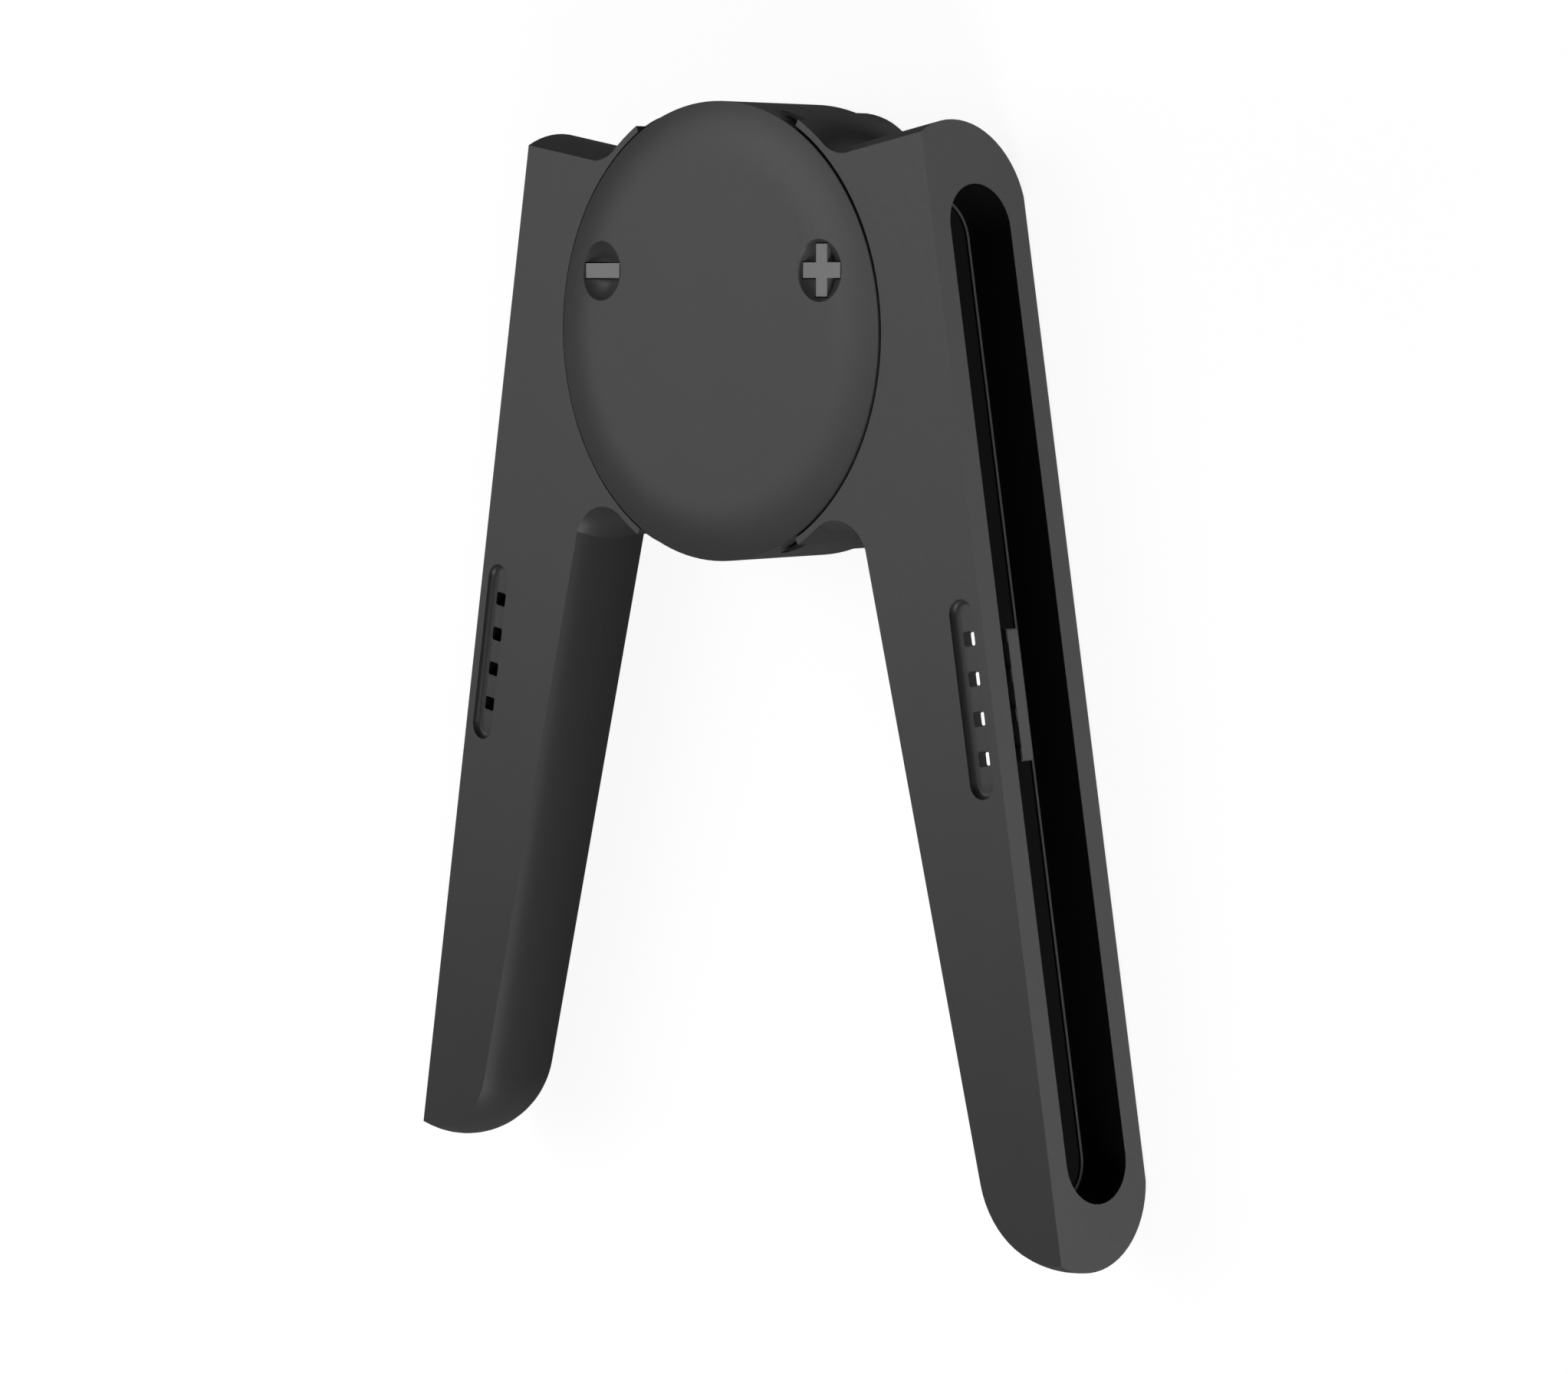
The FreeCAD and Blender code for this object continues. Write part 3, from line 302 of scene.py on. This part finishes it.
@dataclass(frozen=True)
class LightGuide:
    """A light guide of smoky acrylic, with prongs that are frosted at their ends.

    The bar is grey, the clear shafts of the prongs are painted near black as painted shade for the
    dark pocket behind them, and on the lit guide the frosted ends carry a painted glow of even
    white.
    """

    name: str
    bar_colour: str
    shaft_shade_colour: str
    end_colour: str
    glow: float
    shaft_height_mm: float = 7.99
    end_height_mm: float = 10.9
    overall_mm: float = 20.0
    frost_mm: float = 0.3
    frost_shade: float = 0.94
    roughness: float = 0.4
    gloss: float = 0.5

    def make(self) -> bpy.types.Material:
        """Build the material.

        Returns:
            A plastic whose colour, glow and gloss follow the height above the grip's back.
        """
        material, tree, shader = new_material(self.name)
        shader.inputs["Roughness"].default_value = self.roughness
        shader.inputs["Emission Strength"].default_value = self.glow
        place = add_node(tree, "ShaderNodeTexCoord").outputs["Object"]
        frost = add_node(tree, "ShaderNodeTexNoise", None,
                         {"Scale": 1 / (self.frost_mm * MM), "Detail": 2.0}, {"Vector": place})
        axes = add_node(tree, "ShaderNodeSeparateXYZ", None, None, {"Vector": place})
        height = add_node(tree, "ShaderNodeMapRange", None, {"From Max": self.overall_mm * MM},
                          {"Value": axes.outputs["Z"]})
        black = linear(BLACK)
        zones = self.zones(tree, height, linear(self.bar_colour), linear(self.shaft_shade_colour),
                           linear(self.end_colour))
        grain = add_node(tree, "ShaderNodeMapRange", None, {"To Min": self.frost_shade},
                         {"Value": frost.outputs["Fac"]})
        colour = add_node(tree, "ShaderNodeMix", {"data_type": "RGBA"}, {"A": black},
                          {"Factor": grain.outputs["Result"], "B": zones})
        tree.links.new(colour.outputs["Result"], shader.inputs["Base Color"])
        # Painted glow: where the ends are white the guide emits white light, though it is no lamp
        light = self.zones(tree, height, black, black, linear(WHITE))
        tree.links.new(light, shader.inputs["Emission Color"])
        # The shafts' sheen is taken off as painted shade for the shade of their channels, so only
        # the bar and the ends shine
        bright = (self.gloss, self.gloss, self.gloss, 1.0)
        sheen = self.zones(tree, height, bright, black, bright)
        tree.links.new(sheen, shader.inputs["Specular IOR Level"])
        return material

    def zones(self, tree: bpy.types.NodeTree, height: bpy.types.Node, bar: Colour,
              shaft: Colour, end: Colour) -> bpy.types.NodeSocket:
        """Give the bar, the shafts and the ends a colour or a value each.

        Args:
            tree: The material's node tree.
            height: The node that gives the height as a share of the whole.
            bar: The colour below the shafts.
            shaft: The colour between the bar and the ends.
            end: The colour of the frosted ends.

        Returns:
            The colour at this height.
        """
        ramp = add_node(tree, "ShaderNodeValToRGB", None, None, {"Fac": height.outputs["Result"]})
        ramp.color_ramp.interpolation = "CONSTANT"
        ramp.color_ramp.elements[0].color = bar
        ramp.color_ramp.elements[1].color = end
        ramp.color_ramp.elements[1].position = self.end_height_mm / self.overall_mm
        ramp.color_ramp.elements.new(self.shaft_height_mm / self.overall_mm).color = shaft
        return ramp.outputs["Color"]


Finish = MouldedPlastic | TurnedSteel | LightGuide

# Dark grey PC-ABS, evenly satin
COVER_ABS = MouldedPlastic("spark_eroded_pcabs_cover", "444444")
# Light grey ABS from a smoother tool, a shade glossier than the cover round it
KEY_ABS = MouldedPlastic("polished_abs_key", "929293", roughness=0.4, pit_depth_mm=0.002)
# Lacquer over the glass fibre board, the smoothest surface here
SOLDER_MASK = MouldedPlastic("solder_mask_board", "1E5B34", roughness=0.3, pit_depth_mm=0.001)
# Silicone rubber, dull all over
SILICONE = MouldedPlastic("silicone_dome", "9A9B9D", roughness=0.7, pit_depth_mm=0.002)
# Undyed nylon, cream and nearly dull
NYLON = MouldedPlastic("nylon_washer", "DAD6CB", roughness=0.55, pit_depth_mm=0.002)
# Ground steel mirrors the most, stamped spring steel less, and black zinc hardly at all
PIN_STEEL = TurnedSteel("ground_steel_pin", "B9B9BC", 0.25)
SPRING_STEEL = TurnedSteel("stamped_spring_steel", "9A9A9E")
SCREW_STEEL = TurnedSteel("black_zinc_screw", "3A3A3C", 0.4)
# Smoky acrylic: the right arm's ends carry a painted white glow and the left arm's stay dark
GUIDE_PAINTED_GLOW = LightGuide("acrylic_guide_painted_glow", "4A4A4A", "0A0A0A", "F6F6F6", 1.0)
GUIDE_DARK = LightGuide("acrylic_guide_unlit", "4A4A4A", "0A0A0A", "161616", 0.0)


def arm_plastic(side: Side) -> MouldedPlastic:
    """Give an arm's plastic, dim where the photograph has it in deep shade.

    Args:
        side: Which arm it is for.

    Returns:
        The finish of the whole arm.
    """
    # Painted shade: the pocket's walls and the walls of the light windows are dimmed in colour and
    # sheen
    pocket = PaintedShadeBox(side, (24.0, -86.0, 2.6), (30.05, 9.0, 10.85), 0.12)
    window_shade = PaintedShadeBox(side, (26.88, -44.7, 10.8), (28.32, -32.1, 12.39), 0.25)
    # The front faces of the thin tails that the ear ends in, dimmed as painted shade
    upper_tail_shade = PaintedShadeBox(side, (11.3, 17.3, 11.85), (14.6, 19.7, 11.95), 0.3)
    lower_tail_shade = PaintedShadeBox(side, (4.0, -22.6, 11.85), (7.7, -20.9, 11.95), 0.3)
    painted_shade_boxes = (pocket, window_shade, upper_tail_shade, lower_tail_shade)
    return MouldedPlastic(f"spark_eroded_pcabs_{side.word}_arm", "424242", painted_shade_boxes=painted_shade_boxes)


def floor_plastic(side: Side) -> MouldedPlastic:
    """Give a floor plate's plastic, dimmed below the top of its rim as painted shade.

    Args:
        side: Which arm's plate it is for.

    Returns:
        The finish of the whole plate.
    """
    below_rim_shade = PaintedShadeBox(side, (22.0, -90.0, 2.0), (24.8, 12.0, 12.0), 0.12)
    return MouldedPlastic(f"moulded_abs_{side.word}_floor", "343434", painted_shade_boxes=(below_rim_shade,))


def dress(node: bpy.types.Object, finish: Finish) -> None:
    """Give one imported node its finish.

    Args:
        node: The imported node.
        finish: What it is made of.
    """
    material = bpy.data.materials.get(finish.name) or finish.make()
    node.data.materials.clear()
    node.data.materials.append(material)
    LOG.info("dressed %s in %s", node.name, finish.name)


@dataclass
class Hub:
    """The two covers of the hub and the screws that hold them together."""

    cover: Finish = COVER_ABS
    screws: Finish = SCREW_STEEL

    def dress(self, nodes: Nodes) -> None:
        """Dress the hub's pieces.

        Args:
            nodes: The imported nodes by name.
        """
        for name in ("hub_front_cover", "hub_back_cover"):
            dress(nodes[name], self.cover)
        dress(nodes["cover_screws"], self.screws)


@dataclass
class Hinge:
    """The spindle and the two washers that the arms turn on."""

    spindle: Finish = PIN_STEEL
    friction_washer: Finish = NYLON
    wave_washer: Finish = SPRING_STEEL

    def dress(self, nodes: Nodes) -> None:
        """Dress the hinge's pieces.

        Args:
            nodes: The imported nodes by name.
        """
        dress(nodes["hinge_spindle"], self.spindle)
        dress(nodes["friction_washer"], self.friction_washer)
        dress(nodes["wave_washer"], self.wave_washer)


@dataclass
class Keys:
    """The two keys, their domes and the board below them."""

    key: Finish = KEY_ABS
    dome: Finish = SILICONE
    board: Finish = SOLDER_MASK
    screws: Finish = SCREW_STEEL
    signs: tuple[Sign, ...] = (Sign.MINUS, Sign.PLUS)

    def dress(self, nodes: Nodes) -> None:
        """Dress the keys and what is under them.

        Args:
            nodes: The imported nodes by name.
        """
        for sign in self.signs:
            dress(nodes[f"{sign.value}_button"], self.key)
            dress(nodes[f"{sign.value}_dome"], self.dome)
        dress(nodes["button_board"], self.board)
        dress(nodes["board_screws"], self.screws)


@dataclass
class Arm:
    """One arm with its pocket floor, its light guide and their screws."""

    side: Side
    guide: Finish
    screws: Finish = SCREW_STEEL

    def dress(self, nodes: Nodes) -> None:
        """Dress the arm's pieces.

        Args:
            nodes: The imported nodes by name.
        """
        dress(nodes[f"{self.side.word}_arm"], arm_plastic(self.side))
        dress(nodes[f"{self.side.word}_floor_plate"], floor_plastic(self.side))
        dress(nodes[f"{self.side.word}_light_guide"], self.guide)
        dress(nodes[f"{self.side.word}_plate_screws"], self.screws)


GRIP_MIDDLE_MM = (0.0, -30.0, 7.0)


@dataclass(frozen=True)
class Lamp:
    """A soft oblong lamp that points at the grip, and may leave no mirror image in its gloss."""

    name: str
    place_mm: tuple[float, float, float]
    size_mm: tuple[float, float]
    power_w: float
    mirrored: bool = True
    target_mm: tuple[float, float, float] = GRIP_MIDDLE_MM

    def hang(self) -> None:
        """Put the lamp in its place."""
        data = bpy.data.lights.new(self.name, "AREA")
        data.energy = self.power_w
        data.shape = "RECTANGLE"
        data.size, data.size_y = (length * MM for length in self.size_mm)
        lamp = bpy.data.objects.new(self.name, data)
        bpy.context.scene.collection.objects.link(lamp)
        lamp.visible_glossy = self.mirrored
        lamp.location = Vector(self.place_mm) * MM
        aim = Vector(self.target_mm) - Vector(self.place_mm)
        lamp.rotation_mode = "QUATERNION"
        lamp.rotation_quaternion = aim.to_track_quat("-Z", "Y")


LAMPS = (
    # Wide and high at the front left: its soft reflection fills the faces that look forward
    Lamp("front_lamp", (-330.0, 60.0, 480.0), (420.0, 420.0), 0.71),
    # Beyond the upper end: it lifts the crown's upper edge and the lower halves of the dishes
    Lamp("upper_lamp", (-400.0, 330.0, 560.0), (420.0, 420.0), 0.39),
    # Overhead: it opens the crown's right edge without reaching the upright walls
    Lamp("overhead_lamp", (0.0, 60.0, 700.0), (300.0, 300.0), 0.2),
    # A strip as low as the grip: it lights the outer faces, and the right arm shades the left one
    Lamp("right_strip", (560.0, -20.0, 7.0), (120.0, 12.0), 2.4),
    # Below at the right: a fill for the walls and rims that face the lower end
    Lamp("lower_lamp", (260.0, -430.0, 260.0), (240.0, 240.0), 0.95),
    # Low at the lower end, behind the same diffuser: it lights the drum's wall below its rim
    Lamp("lower_fill", (60.0, -600.0, 7.0), (120.0, 12.0), 0.5, mirrored=False),
    # Low at the left, behind a diffuser too wide to mirror: it opens the sides turned away
    Lamp("left_fill", (-600.0, -30.0, 50.0), (300.0, 300.0), 1.4, mirrored=False),
)


@dataclass
class Studio:
    """The camera, the lamps, the pale floor and the world round them."""

    yaw_deg: float = 45.799
    pitch_deg: float = 5.627
    camera_mm: tuple[float, float, float] = (290.64, 5.08, 286.59)
    lens_mm: float = 95.08
    sensor_mm: float = 36.0
    clip_start_mm: float = 10.0
    floor_reach_m: float = 3.0
    floor_colour: str = "808080"
    floor_glow: float = 0.9
    reflected_share: float = 0.02
    ambient: float = 0.08
    lamps: tuple[Lamp, ...] = LAMPS

    def build(self) -> None:
        """Set up the whole studio."""
        self.add_camera()
        for lamp in self.lamps:
            lamp.hang()
        self.add_world()
        self.add_floor()
        bpy.context.scene.view_settings.view_transform = "Standard"
        LOG.info("studio with %d lamps", len(self.lamps))

    def add_camera(self) -> None:
        """Place the camera where the photograph was taken from."""
        data = bpy.data.cameras.new("camera")
        data.lens = self.lens_mm
        data.sensor_width = self.sensor_mm
        data.sensor_fit = "HORIZONTAL"
        data.clip_start = self.clip_start_mm * MM
        camera = bpy.data.objects.new("camera", data)
        bpy.context.scene.collection.objects.link(camera)
        turn = math.radians(self.yaw_deg)
        tilt = math.radians(self.pitch_deg)
        back = Vector((math.sin(turn) * math.cos(tilt), math.sin(tilt),
                       math.cos(turn) * math.cos(tilt)))
        right = Vector((math.cos(turn), 0.0, -math.sin(turn)))
        place = Matrix((right, back.cross(right), back)).transposed().to_4x4()
        place.translation = Vector(self.camera_mm) * MM
        camera.matrix_world = place
        bpy.context.scene.camera = camera

    def seen_white(self, tree: bpy.types.NodeTree) -> bpy.types.NodeSocket:
        """Tell the rays that see the background as white from those that only carry light.

        Args:
            tree: The node tree that asks.

        Returns:
            One for camera and transmission rays, a share for glossy rays, and zero for others.
        """
        path = add_node(tree, "ShaderNodeLightPath")
        direct = add_node(tree, "ShaderNodeMath", {"operation": "MAXIMUM"}, None,
                          {0: path.outputs["Is Camera Ray"],
                           1: path.outputs["Is Transmission Ray"]})
        glossy = add_node(tree, "ShaderNodeMath", {"operation": "MULTIPLY"},
                          {1: self.reflected_share}, {0: path.outputs["Is Glossy Ray"]})
        both = add_node(tree, "ShaderNodeMath", {"operation": "MAXIMUM"}, None,
                        {0: direct.outputs["Value"], 1: glossy.outputs["Value"]})
        return both.outputs["Value"]

    def add_floor(self) -> None:
        """Lay the pale floor that the grip lies on, white to the eye and dim as a light."""
        shape = bmesh.new()
        bmesh.ops.create_grid(shape, x_segments=1, y_segments=1, size=self.floor_reach_m)
        mesh = bpy.data.meshes.new("floor")
        shape.to_mesh(mesh)
        shape.free()
        floor = bpy.data.objects.new("floor", mesh)
        bpy.context.scene.collection.objects.link(floor)
        material, tree, shader = new_material("pale_floor")
        shader.inputs["Base Color"].default_value = linear(self.floor_colour)
        shader.inputs["Roughness"].default_value = 1.0
        shader.inputs["Specular IOR Level"].default_value = 0.0
        shader.inputs["Emission Color"].default_value = linear(WHITE)
        glow = add_node(tree, "ShaderNodeMath", {"operation": "MULTIPLY"},
                        {1: self.floor_glow}, {0: self.seen_white(tree)})
        tree.links.new(glow.outputs["Value"], shader.inputs["Emission Strength"])
        mesh.materials.append(material)

    def add_world(self) -> None:
        """Light the grip softly from all round, and show white where the world is seen."""
        world = bpy.data.worlds.new("studio")
        bpy.context.scene.world = world
        world.use_nodes = True
        tree = world.node_tree
        backdrop = tree.nodes["Background"]
        backdrop.inputs["Color"].default_value = linear(WHITE)
        path = add_node(tree, "ShaderNodeLightPath")
        soft = add_node(tree, "ShaderNodeMath", {"operation": "MULTIPLY"}, {1: self.ambient},
                        {0: path.outputs["Is Diffuse Ray"]})
        strength = add_node(tree, "ShaderNodeMath", {"operation": "MAXIMUM"}, None,
                            {0: self.seen_white(tree), 1: soft.outputs["Value"]})
        tree.links.new(strength.outputs["Value"], backdrop.inputs["Strength"])


def main() -> None:
    """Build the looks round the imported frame."""
    logging.basicConfig(level=logging.INFO, format="%(message)s")
    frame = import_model()
    assemblies = (Hub(), Hinge(), Keys(), Arm(Side.LEFT, GUIDE_DARK), Arm(Side.RIGHT, GUIDE_PAINTED_GLOW))
    for assembly in assemblies:
        assembly.dress(frame["nodes"])
    Studio().build()


if __name__ == "__main__":
    main()
